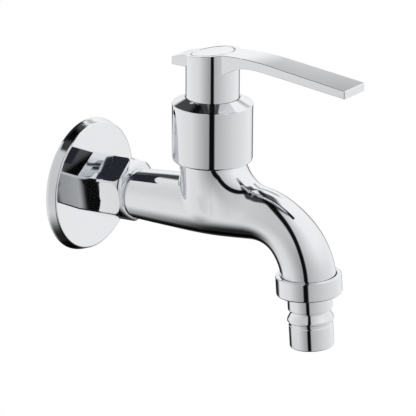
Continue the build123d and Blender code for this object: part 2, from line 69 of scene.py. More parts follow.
def view_axes(azimuth, elevation):
    """Right, up and back directions of a viewer at that azimuth and elevation."""
    back = Vector((
        math.sin(azimuth) * math.cos(elevation),
        -math.cos(azimuth) * math.cos(elevation),
        math.sin(elevation),
    ))
    right = Vector((math.cos(azimuth), math.sin(azimuth), 0))
    return right, back.cross(right), back


def aimed(azimuth, elevation, distance, target, roll):
    """Matrix of a camera that looks at target along its own -Z."""
    right, up, back = view_axes(azimuth, elevation)
    turn = Matrix((right, up, back)).transposed().to_4x4() @ Matrix.Rotation(roll, 4, "Z")
    return Matrix.Translation(target + back * distance) @ turn


# %% Camera
CAMERA_AZIMUTH = math.radians(34.08)
CAMERA_ELEVATION = math.radians(19.54)
CAMERA_ROLL = math.radians(0.21)
CAMERA_DISTANCE = 1.0
CAMERA_AIM = Vector((0.06239, -0.00063, 0.00082))
LENS_PIXELS = 2440
IMAGE_PIXELS = 416
SENSOR_MM = 36
camera_data = bpy.data.cameras.new("photo_camera")
camera_data.sensor_width = SENSOR_MM
camera_data.lens = LENS_PIXELS / IMAGE_PIXELS * SENSOR_MM
camera_data.clip_start = 0.01
camera_data.clip_end = 20
camera = bpy.data.objects.new("photo_camera", camera_data)
bpy.context.scene.collection.objects.link(camera)
camera.matrix_world = aimed(
    CAMERA_AZIMUTH, CAMERA_ELEVATION, CAMERA_DISTANCE, CAMERA_AIM, CAMERA_ROLL
)
bpy.context.scene.camera = camera
bpy.context.scene.view_settings.view_transform = "Standard"
print("lens", round(camera_data.lens, 1), "mm")

# %% [markdown]
# ## Shader maths in Python
# A node tree is easier to read as an expression than as a list of links. A Value wraps one
# socket, and its operators add Math nodes, so `1 - mask * 0.5` builds two of them.

# %% Value


class Value:
    """One socket of a material, with operators that add Math nodes."""

    def __init__(self, finish, socket):
        self.finish = finish
        self.socket = socket

    def math(self, operation, *others):
        return self.finish.node("ShaderNodeMath", {"operation": operation}, self, *others)

    def __add__(self, other):
        return self.math("ADD", other)

    def __radd__(self, other):
        return self.math("ADD", other)

    def __sub__(self, other):
        return self.math("SUBTRACT", other)

    def __rsub__(self, other):
        return self.finish.node("ShaderNodeMath", {"operation": "SUBTRACT"}, other, self)

    def __mul__(self, other):
        return self.math("MULTIPLY", other)

    def __rmul__(self, other):
        return self.math("MULTIPLY", other)

    def __truediv__(self, other):
        return self.math("DIVIDE", other)


# %% [markdown]
# ## One method for every other node
# Each node is made by one call: its type, then its settings, then what goes into its sockets.
# Sockets are named by keywords, with a low line for a space, or filled in their own order.

# %% Finish


def set_stops(ramp, stops):
    """Colour ramp stops, as (position, grey or colour)."""
    while len(ramp.elements) < len(stops):
        ramp.elements.new(0.5)
    for element, (position, colour) in zip(ramp.elements, stops):
        element.position = position
        grey = isinstance(colour, (int, float))
        element.color = (colour, colour, colour, 1) if grey else (*colour, 1)


class Finish:
    """A material whose nodes are made one call at a time."""

    def __init__(self, name, world=False):
        self.material = bpy.data.worlds.new(name) if world else bpy.data.materials.new(name)
        self.material.use_nodes = True
        self.tree = self.material.node_tree
        self.tree.nodes.clear()

    def node(self, kind, settings=None, *inputs, output=0, **named):
        """Adds a node, gives it its settings, then fills its sockets with values or links."""
        made = self.tree.nodes.new(kind)
        for key, value in (settings or {}).items():
            if key == "stops":
                set_stops(made.color_ramp, value)
            else:
                setattr(made, key, value)
        by_name = [(name.replace("_", " "), value) for name, value in named.items()]
        for socket, value in list(enumerate(inputs)) + by_name:
            if isinstance(value, Value):
                self.tree.links.new(value.socket, made.inputs[socket])
            else:
                made.inputs[socket].default_value = value
        return Value(self, made.outputs[output]) if len(made.outputs) else None

    def noise(self, scale, detail):
        """Noise from 0 to 1 over a piece, in Object coordinates."""
        place = self.node("ShaderNodeTexCoord", output="Object")
        return self.node("ShaderNodeTexNoise", None, Vector=place, Scale=scale, Detail=detail)

    def output(self, kind, surface):
        """Links a shader to the material's or world's output."""
        self.node(kind, None, Surface=surface)
        return self.material


# %% [markdown]
# ## Chrome
# Chrome plate is a mirror with almost no colour of its own, so its look comes from what it
# reflects. A perfect mirror looks like a drawing: real plate has a faint polishing haze, here a
# roughness that drifts over a few millimetres. The handle and cap are a little less polished.

# %% Chrome
CHROME_TINT = (0.85, 0.866, 0.888)
HAZE_SCALE = 90.0
HAZE_DETAIL = 3.0


def chrome(name, haze, haze_drift):
    """Polished chrome plate, with a slow drift of its haze."""
    finish = Finish(name)
    shader = finish.node(
        "ShaderNodeBsdfPrincipled", None, Base_Color=(*CHROME_TINT, 1), Metallic=1.0,
        Roughness=haze + haze_drift * finish.noise(HAZE_SCALE, HAZE_DETAIL),
    )
    return finish.output("ShaderNodeOutputMaterial", shader)


chrome_plate = chrome("polished_chrome", haze=0.03, haze_drift=0.03)
handle_chrome = chrome("brushed_chrome", haze=0.05, haze_drift=0.04)
index_chrome = chrome("cap_chrome", haze=0.05, haze_drift=0.03)
print("chrome finishes:", chrome_plate.name, handle_chrome.name, index_chrome.name)

# %% [markdown]
# ## Finishes inside
# The parts inside are brass, ceramic, rubber, nylon and spring steel. Each gets one noise with a
# grain of its own size, which moves colour, roughness and bump together, as on a real surface.

# %% A grained finish
GRAIN_DETAIL = 4.0
GRAIN_DEPTH = 0.0002


def grained(name, dark, light, metal, roughness, spread, scale, bump):
    """Finish whose colour and roughness vary with a fine noise, with a little bump."""
    finish = Finish(name)
    grain = finish.noise(scale, GRAIN_DETAIL)
    colour = finish.node("ShaderNodeValToRGB", {"stops": [(0.3, dark), (0.7, light)]}, grain)
    relief = finish.node(
        "ShaderNodeBump", None, Strength=bump, Distance=GRAIN_DEPTH, Height=grain
    )
    shader = finish.node(
        "ShaderNodeBsdfPrincipled", None,
        Base_Color=colour, Metallic=metal, Roughness=roughness + spread * grain, Normal=relief,
    )
    return finish.output("ShaderNodeOutputMaterial", shader)


# %% Brass, ceramic, rubber, nylon and steel
inner_finishes = {
    "brass": grained(
        "turned_brass", (0.62, 0.42, 0.16), (0.74, 0.54, 0.24),
        metal=1.0, roughness=0.2, spread=0.2, scale=500.0, bump=0.1,
    ),
    "ceramic": grained(
        "alumina_ceramic", (0.80, 0.79, 0.76), (0.86, 0.85, 0.83),
        metal=0.0, roughness=0.18, spread=0.1, scale=900.0, bump=0.04,
    ),
    "rubber": grained(
        "black_rubber", (0.012, 0.012, 0.013), (0.022, 0.022, 0.023),
        metal=0.0, roughness=0.5, spread=0.25, scale=700.0, bump=0.3,
    ),
    "nylon": grained(
        "natural_nylon", (0.68, 0.66, 0.60), (0.74, 0.72, 0.67),
        metal=0.0, roughness=0.4, spread=0.15, scale=400.0, bump=0.1,
    ),
    "spring_steel": grained(
        "spring_steel", (0.36, 0.35, 0.34), (0.46, 0.45, 0.44),
        metal=1.0, roughness=0.25, spread=0.2, scale=800.0, bump=0.1,
    ),
}
print("inner finishes:", list(inner_finishes))

# %% Finishes on the nodes
slot_nodes = {
    "brass": ["cartridge_housing", "spindle"],
    "ceramic": ["fixed_disc", "moving_disc"],
    "rubber": [
        "housing_o_ring", "seat_seal", "nozzle_washer",
        "spindle_o_ring_lower", "spindle_o_ring_upper",
    ],
    "nylon": ["seal_support_ring", "thrust_washer", "slip_washer"],
    "spring_steel": ["spindle_circlip", "handle_screw"],
}


def dress(piece, finish):
    """Gives a piece one finish and no other."""
    piece.data.materials.clear()
    piece.data.materials.append(finish)


for node in nodes.values():
    dress(node, chrome_plate)
for slot, names in slot_nodes.items():
    for name in names:
        dress(nodes[name], inner_finishes[slot])
print("finished inner parts:", sum(len(names) for names in slot_nodes.values()))

# %% [markdown]
# ## Finding places in the frame
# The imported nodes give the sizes, and the record gives the outlet's axis. Modelling goes in
# millimetres about the piece's own axis, because merges and booleans are safer on numbers near
# one, and the last step of each piece scales it down to metres.

# %% Places
SPOUT_TO_MOUNT = 23.4


def box_mm(node):
    """Lowest and highest corner of a CAD node, in millimetres."""
    return [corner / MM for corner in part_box(node)]


mounts = {mount["name"]: mount for mount in frame["record"]["mounts"]}
down = Vector(mounts["nozzle_hose"]["axis"]).normalized()
outlet_point = Vector(mounts["nozzle_hose"]["pos_m"]) / MM - down * SPOUT_TO_MOUNT
outlet_side = Vector((0, -1, 0))
outlet_axes = Matrix((outlet_side.cross(down), outlet_side, down)).transposed().to_4x4()
OUTLET = Matrix.Translation(outlet_point) @ outlet_axes
sleeve_low, sleeve_high = box_mm("bonnet_sleeve")
VALVE_X = (sleeve_low.x + sleeve_high.x) / 2
VALVE = Matrix.Translation((VALVE_X, 0, 0))
INLET = Matrix.Rotation(math.radians(90), 4, "Y")
print("valve axis at x", round(VALVE_X, 2), "outlet at", [round(at, 2) for at in outlet_point])

# %% [markdown]
# ## Selecting, moving and modifying
# Operators act on whatever is selected, so each step first deselects everything and picks its
# own piece. A move is applied to the mesh, so every finished object sits at the origin, as the
# frame's nodes do, and a modifier is applied at once, so the next cut meets real faces.

# %% Selecting, moving and modifying


def begin():
    """Leaves edit mode and deselects everything, because operators act on what is selected."""
    if bpy.context.object and bpy.context.object.mode != "OBJECT":
        bpy.ops.object.mode_set(mode="OBJECT")
    bpy.ops.object.select_all(action="DESELECT")


def pick(piece):
    """Selects one object and makes it active."""
    begin()
    piece.select_set(True)
    bpy.context.view_layer.objects.active = piece


def place(piece, matrix):
    """Moves a piece and applies the move to its mesh."""
    pick(piece)
    piece.matrix_world = matrix @ piece.matrix_world
    bpy.ops.object.transform_apply(location=True, rotation=True, scale=True)
    return piece


def modify(piece, kind, **settings):
    """Adds a modifier to a piece, gives it its settings and applies it."""
    pick(piece)
    bpy.ops.object.modifier_add(type=kind)
    modifier = piece.modifiers[-1]
    for key, value in settings.items():
        setattr(modifier, key, value)
    bpy.ops.object.modifier_apply(modifier=modifier.name)


# %% [markdown]
# ## Outlines
# A turner starts from a profile, and so does this: one vertex is extruded from corner to corner,
# and a vertex bevel rounds some of the corners. Rounding the outline first gives exact fillets
# all the way round.

# %% Outlines
SAME_POINT = 0.001
AT_CORNER = 0.01


def spot(point, flat):
    """Corner of an outline: (x, y) of a plan that lies flat, or (x, z) of a side view."""
    return Vector((point[0], point[1], 0)) if flat else Vector((point[0], 0, point[1]))


def trace(name, outline, flat=False, closed=True):
    """Draws an outline by extruding one vertex from corner to corner."""
    begin()
    bpy.ops.mesh.primitive_plane_add(size=1)
    piece = bpy.context.active_object
    piece.name = name
    bpy.ops.object.mode_set(mode="EDIT")
    bpy.ops.mesh.merge(type="CENTER")
    here = spot(outline[0], flat)
    bpy.ops.transform.translate(value=here)
    for point in list(outline[1:]) + ([outline[0]] if closed else []):
        there = spot(point, flat)
        bpy.ops.mesh.extrude_region_move(TRANSFORM_OT_translate={"value": there - here})
        here = there
    bpy.ops.mesh.select_all(action="SELECT")
    bpy.ops.mesh.remove_doubles(threshold=SAME_POINT)
    return piece


def round_corner(piece, corner, radius, flat=False, segments=6):
    """Rounds one corner of the outline being edited."""
    mesh = bmesh.from_edit_mesh(piece.data)
    where = spot(corner, flat)
    for vertex in mesh.verts:
        vertex.select = (vertex.co - where).length < AT_CORNER
    mesh.select_flush_mode()
    bmesh.update_edit_mesh(piece.data)
    bpy.ops.mesh.bevel(offset=radius, segments=segments, affect="VERTICES")


# %% [markdown]
# ## Turned and sawn pieces
# Most of a tap is turned on a lathe: Spin sweeps the outline round an axis. What isn't round
# starts as a slab: the outline is filled and extruded, straight or a little aslant.

# %% Turned and sawn pieces


def close_up():
    """Merges doubles and turns the faces outwards, then leaves edit mode."""
    bpy.ops.mesh.select_all(action="SELECT")
    bpy.ops.mesh.remove_doubles(threshold=SAME_POINT)
    bpy.ops.mesh.delete_loose(use_faces=False)
    bpy.ops.mesh.select_all(action="SELECT")
    bpy.ops.mesh.normals_make_consistent(inside=False)
    bpy.ops.object.mode_set(mode="OBJECT")


def turned(name, outline, rounds=(), axis=None, steps=144):
    """Spins (radius, height) corners about an axis. Rounds are (corner's number, radius)."""
    piece = trace(name, outline, closed=outline[0][0] > 0 or outline[-1][0] > 0)
    for number, radius in rounds:
        round_corner(piece, outline[number], radius)
    bpy.ops.mesh.select_all(action="SELECT")
    bpy.ops.mesh.spin(steps=steps, angle=2 * math.pi, center=(0, 0, 0), axis=(0, 0, 1))
    close_up()
    return place(piece, axis) if axis else piece


def slab(name, outline, low, high, rounds=(), flat=False, slant=(0, 0, 0)):
    """Outline extruded from low to high along the direction that it faces, or a little aslant."""
    piece = trace(name, outline, flat)
    for number, radius in rounds:
        round_corner(piece, outline[number], radius, flat, segments=10)
    out = Vector((0, 0, 1)) if flat else Vector((0, 1, 0))
    bpy.ops.mesh.select_all(action="SELECT")
    bpy.ops.mesh.edge_face_add()
    bpy.ops.transform.translate(value=out * low)
    pull = out * (high - low) + Vector(slant)
    bpy.ops.mesh.extrude_region_move(TRANSFORM_OT_translate={"value": pull})
    close_up()
    return piece


# %% [markdown]
# ## Cutting and joining
# Drills, saws and solder are booleans here. A boolean with an open cutter changes nothing and
# gives only a warning, so every cut is checked by the volume that it adds or takes away.

# %% Cutting and joining
SPARE = 1
LEAST_CHANGE = 0.01


def space_inside(piece):
    """Volume of a closed piece, in cubic millimetres."""
    mesh = bmesh.new()
    mesh.from_mesh(piece.data)
    volume = mesh.calc_volume()
    mesh.free()
    return volume


def combine(piece, operation, cutter):
    """Joins, cuts or intersects a piece with a closed cutter, which is used up."""
    before = space_inside(piece)
    modify(piece, "BOOLEAN", operation=operation, solver="MANIFOLD", object=cutter)
    if abs(space_inside(piece) - before) < LEAST_CHANGE:
        raise RuntimeError(f"{operation} with {cutter.name} changed nothing: is it closed?")
    bpy.data.objects.remove(cutter)
    return piece


# %% [markdown]
# ## Softened edges
# Metal that was cast and polished has no knife edges. A bevel on every edge that the cuts leave
# would cross faces in the hollow corners, so only the outer edges get a bevel weight. The stray
# points of the cuts are merged first, because tiny edges spoil a bevel.

# %% Softened edges
STRAY_GAP = 0.03


def soften(piece, width, angle, clamp=False):
    """Merges the stray points that cuts leave, then bevels outer edges sharper than an angle."""
    pick(piece)
    bpy.ops.object.mode_set(mode="EDIT")
    bpy.ops.mesh.select_all(action="SELECT")
    bpy.ops.mesh.remove_doubles(threshold=STRAY_GAP)
    bpy.ops.object.mode_set(mode="OBJECT")
    mesh = bmesh.new()
    mesh.from_mesh(piece.data)
    weight = mesh.edges.layers.float.new("bevel_weight_edge")
    for edge in mesh.edges:
        sharp = edge.calc_face_angle(0) > math.radians(angle)
        edge[weight] = float(edge.is_convex and sharp)
    mesh.to_mesh(piece.data)
    mesh.free()
    modify(
        piece, "BEVEL", use_clamp_overlap=clamp, loop_slide=False,
        width=width, segments=3, limit_method="WEIGHT",
    )


# %% [markdown]
# ## Last step of each piece
# A finished piece goes from millimetres to metres, gets smooth shading with its sharp edges kept,
# gets its finish, is parented to its body, and hides the CAD node that it stands for.

# %% Last step of each piece


def settled(piece, finish, slot, body, *replaced, smooth=35, weighted=True):
    """Scales a finished piece to metres, smooths it, gives it its finish and body, and hides its
    node.
    """
    place(piece, Matrix.Scale(MM, 4))
    bpy.ops.object.shade_smooth_by_angle(angle=math.radians(smooth))
    if weighted:
        modify(piece, "WEIGHTED_NORMAL", keep_sharp=True)
    dress(piece, finish)
    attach(piece, body)
    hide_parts(*replaced)
    print(piece.name, len(piece.data.polygons), "faces")


# %% [markdown]
# ## Wall flange
# The flange is pressed from thin sheet: a flat face, a rim that tapers out to the wall, and a
# rounded edge between them. It is hollow behind, which shows from the back, and it hangs a
# little low on the thread, as a loose flange does.

# %% Wall flange
FLANGE_FACE_R = 27.2
FLANGE_BORE_R = 11.28
FLANGE_RIM = 0.9
FLANGE_SHEET = 1.2
flange_low, flange_high = box_mm("wall_flange")
flange_r = (flange_high.y - flange_low.y) / 2
flange_hang = Matrix.Translation((0, 0, (flange_high.z + flange_low.z) / 2))
face_x = flange_high.x
back_x = face_x - FLANGE_SHEET
flange = turned("pressed_flange", [
    (flange_r - FLANGE_SHEET, 0), (flange_r, 0), (flange_r, FLANGE_RIM), (FLANGE_FACE_R, face_x),
    (FLANGE_BORE_R, face_x), (FLANGE_BORE_R, back_x), (FLANGE_FACE_R - FLANGE_SHEET, back_x),
], [(1, 0.25), (2, 0.5), (3, 0.7), (4, 0.2)], flange_hang @ INLET, steps=192)
settled(flange, chrome_plate, "chrome", "tap", "wall_flange")

# %% [markdown]
# ## Sleeve over the cartridge
# A plain cover with a shallow cone on top, whose mouth lets the handle's hub through. Only its
# lower edge is well rounded: the upper one is nearly sharp and catches a thin line of light.

# %% Sleeve
SLEEVE_WALL = 1.6
MOUTH_R = 11.2
CONE_RISE = 2.7
ROOF = 1.76
ROOF_FOOT = 0.95
NECK_THREAD_R = 13.05
NECK_THREAD = 8.4
sleeve_r = (sleeve_high.x - sleeve_low.x) / 2
inside_r = sleeve_r - SLEEVE_WALL
cone_foot = sleeve_high.z - CONE_RISE
sleeve = turned("valve_sleeve", [
    (NECK_THREAD_R, sleeve_low.z), (sleeve_r, sleeve_low.z), (sleeve_r, cone_foot),
    (MOUTH_R, sleeve_high.z), (MOUTH_R, sleeve_high.z - ROOF), (inside_r, cone_foot - ROOF_FOOT),
    (inside_r, sleeve_low.z + NECK_THREAD), (NECK_THREAD_R, sleeve_low.z + NECK_THREAD),
], [(1, 1.3), (2, 0.25), (3, 0.12)], VALVE, steps=192)
settled(sleeve, chrome_plate, "chrome", "tap", "bonnet_sleeve")

# %% [markdown]
# ## Collar nut
# The nut at the spout's end is plain and round. It screws onto the spout from below, and its
# lower lip holds the nozzle. It is turned about the outlet's leaning axis.

# %% Collar nut
COLLAR_R = 13.4
COLLAR_TOP = -2.2
COLLAR_BOTTOM = 5.8
COLLAR_MOUTH_R = 11.6
COLLAR_THREAD_R = 10.5275
COLLAR_THREAD_TOP = 0.2
COLLAR_HOLE_R = 9.2
COLLAR_LIP = 0.9
lip_top = COLLAR_BOTTOM - COLLAR_LIP
collar = turned("spout_collar", [
    (COLLAR_MOUTH_R, COLLAR_TOP), (COLLAR_R, COLLAR_TOP), (COLLAR_R, COLLAR_BOTTOM),
    (COLLAR_HOLE_R, COLLAR_BOTTOM), (COLLAR_HOLE_R, lip_top), (COLLAR_THREAD_R, lip_top),
    (COLLAR_THREAD_R, COLLAR_THREAD_TOP), (COLLAR_MOUTH_R, COLLAR_THREAD_TOP),
], [(0, 0.15), (1, 0.4), (2, 0.8), (3, 0.15)], OUTLET, steps=160)
settled(collar, chrome_plate, "chrome", "tap", "collar_nut")

# %% [markdown]
# ## Hose nozzle
# The nozzle hangs in the collar by its shoulder. A quick hose connector grips its groove and
# rib. One outline gives all of it, about the same leaning axis.

# %% Hose nozzle
SHOULDER_TOP, SHOULDER_BOTTOM = 3.4, 4.9
NOZZLE_SHOULDER_R = 9.9
NOZZLE_R = 9.05
NOZZLE_BORE_R = 6.7
NOZZLE_END = 28.1
GROOVE_R = 8.0
RIB_R = 9.55
RECESS_R = NOZZLE_R - 0.2
nozzle = turned("hose_spigot", [
    (NOZZLE_BORE_R, SHOULDER_TOP), (NOZZLE_SHOULDER_R, SHOULDER_TOP),
    (NOZZLE_SHOULDER_R, SHOULDER_BOTTOM), (NOZZLE_R, SHOULDER_BOTTOM),
    (NOZZLE_R, 12.2), (GROOVE_R, 12.6), (GROOVE_R, 13.5), (RIB_R, 16.3), (RIB_R, 17.1),
    (RECESS_R, 17.3), (RECESS_R, 18.7), (NOZZLE_R, 18.9),
    (NOZZLE_R, NOZZLE_END), (NOZZLE_BORE_R, NOZZLE_END),
], [(4, 0.25), (7, 0.4), (8, 0.25), (12, 0.5), (13, 0.3)], OUTLET)
settled(nozzle, chrome_plate, "chrome", "tap", "hose_nozzle")

# %% [markdown]
# ## Handle
# One casting: a round hub and a flat lever that share one arched top. It is easiest seen as
# three cuts. The hub and a bar with the lever's plan are joined, the arch cuts both from above
# in one go, so the top runs on without a seam, and the lever's own underside cuts the bar.

# %% Arch of the handle
TAIL_X = VALVE_X - 16.1
TIP_X = VALVE_X + 66.4
CREST_X = VALVE_X + 18.0
CREST_Z = 69.0
ARCH_R = 125.0
BEND_LENGTH = 14.0
FALL = math.tan(math.radians(6.9))
BEND_END_X = CREST_X + BEND_LENGTH
BEND_END_Z = CREST_Z - FALL * BEND_LENGTH / 2


def arch_z(x):
    """Height of the handle's top: an arch, a soft bend and a straight fall to the tip."""
    if x < CREST_X:
        return CREST_Z - ARCH_R + math.sqrt(ARCH_R ** 2 - (CREST_X - x) ** 2)
    if x < BEND_END_X:
        return CREST_Z - FALL * (x - CREST_X) ** 2 / (2 * BEND_LENGTH)
    return BEND_END_Z - FALL * (x - BEND_END_X)


print("arch falls from", CREST_Z, "to", round(arch_z(TIP_X), 2))

# %% Everything under the arch
ARCH_STEPS = 52
BEFORE_TAIL = TAIL_X - SPARE
PAST_TIP = TIP_X + SPARE
BELOW, ABOVE, HALF = 50, 80.0, 20


def under_arch(name, floor_z, drop=0.0):
    """Everything between a floor and the arched top, lowered by drop."""
    length = BEND_END_X - BEFORE_TAIL
    crest = [BEFORE_TAIL + length * step / ARCH_STEPS for step in range(ARCH_STEPS + 1)]
    outline = [(x, arch_z(x) - drop) for x in crest + [PAST_TIP]]
    return slab(name, outline + [(PAST_TIP, floor_z), (BEFORE_TAIL, floor_z)], -HALF, HALF)


# %% Lever and tail
TAIL_UNDER = 61.1
HEEL_UNDER = 60.3
HEEL_END = VALVE_X + 8.45
ARCH_FOOT = (VALVE_X + 16.9, 64.6)
LEVER_START = (VALVE_X + 22.45, 65.1)
LEVER_THICK = 3.75
TIP_THICK = 3.3
TAIL_HALF = 6.2
TIP_HALF = 7.5
handle = slab("handle_casting", [
    (BEFORE_TAIL, TAIL_UNDER), (VALVE_X, TAIL_UNDER), (VALVE_X, HEEL_UNDER),
    (HEEL_END, HEEL_UNDER), ARCH_FOOT, LEVER_START, (BEND_END_X, BEND_END_Z - LEVER_THICK),
    (PAST_TIP, arch_z(PAST_TIP) - TIP_THICK), (PAST_TIP, ABOVE), (BEFORE_TAIL, ABOVE),
], -HALF, HALF, [(4, 2.5), (5, 2.4), (6, 4.0)])
plan = slab("plan", [
    (TAIL_X, -TAIL_HALF), (TIP_X, -TIP_HALF), (TIP_X, TIP_HALF), (TAIL_X, TAIL_HALF),
], BELOW, ABOVE + 5, [(number, 0.6) for number in range(4)], flat=True)
combine(handle, "INTERSECT", plan)
print("lever and tail before the arch cuts them:", round(space_inside(handle)), "cubic mm")

# %% Hub and its cavity
HUB_R = 10.95
HUB_BOTTOM = 48.2
CAVITY_R = 9.25
CAVITY_TOP = 57.4
BOSS_R = 6.2
BOSS_BOTTOM = 50.2
SOCKET_R = 3.9
hub = turned("hub", [
    (0, HUB_BOTTOM), (HUB_R, HUB_BOTTOM), (HUB_R, ABOVE - SPARE), (0, ABOVE - SPARE),
], axis=VALVE, steps=160)
combine(handle, "UNION", hub)
combine(handle, "INTERSECT", under_arch("arch", HUB_BOTTOM - 5))
cavity = turned("cavity", [
    (0, HUB_BOTTOM - SPARE), (CAVITY_R, HUB_BOTTOM - SPARE), (CAVITY_R, CAVITY_TOP),
    (0, CAVITY_TOP),
], axis=VALVE)
combine(handle, "DIFFERENCE", cavity)
boss = turned("boss", [
    (SOCKET_R, BOSS_BOTTOM), (BOSS_R, BOSS_BOTTOM), (BOSS_R, CAVITY_TOP + 0.5),
    (SOCKET_R, CAVITY_TOP + 0.5),
], axis=VALVE)
combine(handle, "UNION", boss)
print("handle", len(handle.data.polygons), "faces before its edges are softened")

# %% [markdown]
# ## Seat of the cap
# A counterbored well goes down from the arch to the spindle's socket: a shallow seat for the
# cap, room for the screw's head, and a hole for its shank. It is a stepped cutter, tilted with
# the arch. The handle's outer edges are softened after this last cut.

# %% Seat of the cap
CAP_R = 8.6
CAP_THICK = 1.6
CAP_GROOVE = 0.45
SCREW_HOLE_R = 2.3
SCREW_ROOM_R = 5.2
SCREW_SEAT = 8.8
WELL_DEPTH = 11.5
cap_tilt = math.asin((CREST_X - VALVE_X) / ARCH_R)
CAP = Matrix.Translation((VALVE_X, 0, arch_z(VALVE_X))) @ Matrix.Rotation(-cap_tilt, 4, "Y")
seat_r = CAP_R + CAP_GROOVE
well = turned("well", [
    (0, -WELL_DEPTH), (SCREW_HOLE_R, -WELL_DEPTH), (SCREW_HOLE_R, -SCREW_SEAT),
    (SCREW_ROOM_R, -SCREW_SEAT), (SCREW_ROOM_R, -CAP_THICK), (seat_r, -CAP_THICK),
    (seat_r, 3), (0, 3),
], axis=CAP, steps=128)
combine(handle, "DIFFERENCE", well)
soften(handle, 0.35, 38)
settled(handle, handle_chrome, "chrome", "handle_turn", "handle", smooth=30)

# %% [markdown]
# ## Index cap
# A thin disc covers the handle's screw. It lies in a ring groove and is ground to the same
# arch as the handle, so it is cut by the same arched form, a hair lower. A short skirt under it
# reaches down into the well.

# %% Index cap
CAP_SINK = 0.05
SKIRT_IN_R, SKIRT_OUT_R = 4.1, 5.0
SKIRT_DEPTH = 3.8
cap = turned("screw_cap", [
    (0, -CAP_THICK), (SKIRT_IN_R, -CAP_THICK), (SKIRT_IN_R, -SKIRT_DEPTH),
    (SKIRT_OUT_R, -SKIRT_DEPTH), (SKIRT_OUT_R, -CAP_THICK), (CAP_R, -CAP_THICK),
    (CAP_R, 2), (0, 2),
], axis=CAP, steps=128)
combine(cap, "INTERSECT", under_arch("cap_arch", BELOW, CAP_SINK))
soften(cap, 0.18, 38)
settled(cap, index_chrome, "index_chrome", "handle_turn", "index_cap", smooth=30)

# %% [markdown]
# ## Cast body
# The run, the neck and the spout are one casting with soft creases, which no boolean makes. So
# the tubes are drawn as curves, remeshed into one even skin, and every point of the skin is
# then moved onto the exact form: the nearer of two tubes, rounded where they meet. First come
# the centre lines: a rising run, a bend down to the outlet, and an elbow from the neck into it.

# %% Centre lines
RUN_START_X = 24.0
RUN_RISE = math.radians(3.3)
BEND_START_X = 84.3
BEND_R = 25.3
CROTCH_R = 25.0
BEND_TURN = RUN_RISE + math.acos(down.x)
rise_x, rise_z = math.cos(RUN_RISE), math.sin(RUN_RISE)


def run_z(x):
    """Height of the rising run's centre line."""
    return (x - RUN_START_X) * math.tan(RUN_RISE)


run_length = (BEND_START_X - RUN_START_X) / rise_x
bend_length = BEND_R * BEND_TURN
bend_x = BEND_START_X + rise_z * BEND_R
bend_z = run_z(BEND_START_X) - rise_x * BEND_R
elbow_x = VALVE_X + CROTCH_R
centres = BEND_R + CROTCH_R
elbow_z = bend_z + math.sqrt(centres ** 2 - (elbow_x - bend_x) ** 2)
elbow_lean = math.asin((elbow_x - bend_x) / centres)
ELBOW_TURN = math.pi / 2 - elbow_lean
print("bend of", round(bend_length, 1), "mm, outlet at angle", round(math.degrees(BEND_TURN), 1))

# %% [markdown]
# ## Thickness along the lines
# The casting swells under the valve and slims in the bend, so each tube has a radius at a few
# stations. A smooth curve between them keeps reflections free of rings, which straight cones
# would show at every station.

# %% Thickness along the lines
NECK_FOOT, NECK_BOTTOM, NECK_MIDDLE = -4.0, 0.8, 12.8
NECK_ROOT_R, NECK_MIDDLE_R, NECK_R = 11.3, 12.95, 13.5


def smooth_through(places, values, at):
    """Smooth curve through given values, level beyond its ends."""
    slopes = np.gradient(values, places)
    index = np.clip(np.searchsorted(places, at) - 1, 0, len(places) - 2)
    gap = places[index + 1] - places[index]
    t = np.clip((at - places[index]) / gap, 0, 1)
    start = (2 * t ** 3 - 3 * t ** 2 + 1) * values[index]
    start = start + (t ** 3 - 2 * t ** 2 + t) * gap * slopes[index]
    end = (3 * t ** 2 - 2 * t ** 3) * values[index + 1]
    return start + end + (t ** 3 - t ** 2) * gap * slopes[index + 1]


def radius_at(places, radii, at):
    """Radius of a tube at one place."""
    return float(smooth_through(places, radii, np.array([at]))[0])


in_bend = [run_length + share * bend_length for share in (0, 0.4, 0.7, 1)]
TUBE_AT = np.array([0, 20, 40, *in_bend])
TUBE_R = np.array([10.4, 11.45, 12.1, 11.3, 10.4, 10.85, 11.3])
NECK_AT = np.array([NECK_FOOT, NECK_BOTTOM, NECK_MIDDLE, sleeve_low.z])
NECK_RADII = np.array([8.0, NECK_ROOT_R, NECK_MIDDLE_R, NECK_R])
meeting_r = radius_at(TUBE_AT, TUBE_R, run_length + BEND_R * (RUN_RISE + elbow_lean))
ELBOW_AT = np.array([0, 0.4, 0.8, 1])
ELBOW_R = np.array([NECK_R - 0.07, 12.3, 11.25, meeting_r])
print("elbow meets the bend with radius", round(meeting_r, 2))

# %% [markdown]
# ## Heights above the tubes
# For any point these functions say how far it is above a tube's skin, and which way is out. A
# number for every place is what lets two tubes be blended: booleans know only in and out.

# %% Run, bend and spout


def round_tube(points, off, off_x, off_z, radius):
    """Height above a tube's skin, and the way out of it, from the offset in the XZ plane."""
    y = points[:, 1]
    reach = np.maximum(np.hypot(off, y), 1e-6)
    return reach - radius, np.stack([off * off_x, y, off * off_z], axis=1) / reach[:, None]


